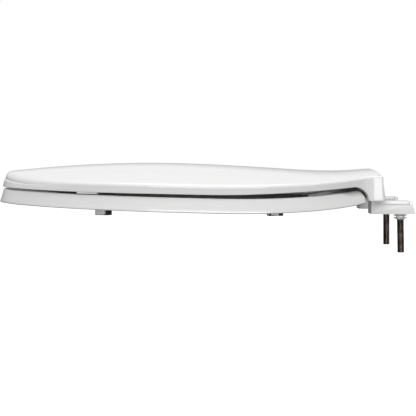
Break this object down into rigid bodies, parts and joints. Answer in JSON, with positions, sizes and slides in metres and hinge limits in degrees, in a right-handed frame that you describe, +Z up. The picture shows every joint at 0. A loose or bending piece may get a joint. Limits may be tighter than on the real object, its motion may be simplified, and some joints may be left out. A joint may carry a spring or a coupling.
{
  "type": "toilet seat",
  "caption": "Slow-close elongated toilet seat: a bowed seat ring under a domed lid whose cowl wraps down behind the damped hinges, with flip bolt covers, bumpers and mounting bolts.",
  "frame": {"origin": "midway between the two mounting bolts, on the plane that the hinge bases stand on", "axes": "+Z up, +Y to the rear, the seat's tip along -Y, +X its right side seen from the front"},
  "size_m": [0.3584, 0.475, 0.0995],
  "materials": {
    "seat_plastic": "moulded, high gloss",
    "lid_plastic": "moulded, high gloss",
    "base_plastic": "moulded, satin gloss",
    "cover_plastic": "moulded, satin gloss",
    "white_nylon": "natural nylon, matt",
    "damper_plastic": "moulded, matt",
    "bumper_rubber": "soft, matt, pale grey",
    "grip_rubber": "soft, matt, dark",
    "bolt_steel": "dark oxidised, rolled thread",
    "pin_steel": "ground"
  },
  "bodies": {
    "hinge_bases": {"hinge_base_left": "base_plastic", "cover_pin_left": "pin_steel", "damper_body_left": "damper_plastic", "pivot_pin_left": "pin_steel", "hinge_base_right": "base_plastic", "cover_pin_right": "pin_steel", "damper_body_right": "damper_plastic", "pivot_pin_right": "pin_steel"},
    "seat": {"seat_ring": "seat_plastic", "damper_rotor_right": "damper_plastic", "pivot_bush_left": "white_nylon", "seat_bumper_front_left": "bumper_rubber", "bumper_grip_front_left": "grip_rubber", "seat_bumper_front_right": "bumper_rubber", "bumper_grip_front_right": "grip_rubber", "seat_bumper_rear_left": "bumper_rubber", "bumper_grip_rear_left": "grip_rubber", "seat_bumper_rear_right": "bumper_rubber", "bumper_grip_rear_right": "grip_rubber"},
    "lid": {"lid_shell": "lid_plastic", "damper_rotor_left": "damper_plastic", "pivot_bush_right": "white_nylon", "lid_bumper_left": "bumper_rubber", "lid_bumper_right": "bumper_rubber"},
    "cover_left": {"bolt_cover_left": "cover_plastic"},
    "cover_right": {"bolt_cover_right": "cover_plastic"},
    "bolt_left": {"mounting_bolt_left": "bolt_steel", "bolt_washer_left": "pin_steel", "bolt_bushing_left": "white_nylon"},
    "bolt_right": {"mounting_bolt_right": "bolt_steel", "bolt_washer_right": "pin_steel", "bolt_bushing_right": "white_nylon"}
  },
  "joints": [
    {"name": "seat_hinge", "type": "hinge", "parent": "hinge_bases", "child": "seat", "pos_m": [0, -0.028, 0.0235], "axis": [-1, 0, 0], "range_deg": [0, 96]},
    {"name": "lid_hinge", "type": "hinge", "parent": "seat", "child": "lid", "pos_m": [0, -0.028, 0.0235], "axis": [1, 0, 0], "range_deg": [-98, 0]},
    {"name": "cover_left_flip", "type": "hinge", "parent": "hinge_bases", "child": "cover_left", "pos_m": [-0.07, 0.0103, 0.0125], "axis": [-1, 0, 0], "range_deg": [0, 100]},
    {"name": "bolt_left_slide", "type": "slide", "parent": "hinge_bases", "child": "bolt_left", "axis": [0, 1, 0], "range_m": [-0.004, 0.004]},
    {"name": "cover_right_flip", "type": "hinge", "parent": "hinge_bases", "child": "cover_right", "pos_m": [0.07, 0.0103, 0.0125], "axis": [-1, 0, 0], "range_deg": [0, 100]},
    {"name": "bolt_right_slide", "type": "slide", "parent": "hinge_bases", "child": "bolt_right", "axis": [0, 1, 0], "range_m": [-0.004, 0.004]}
  ]
}
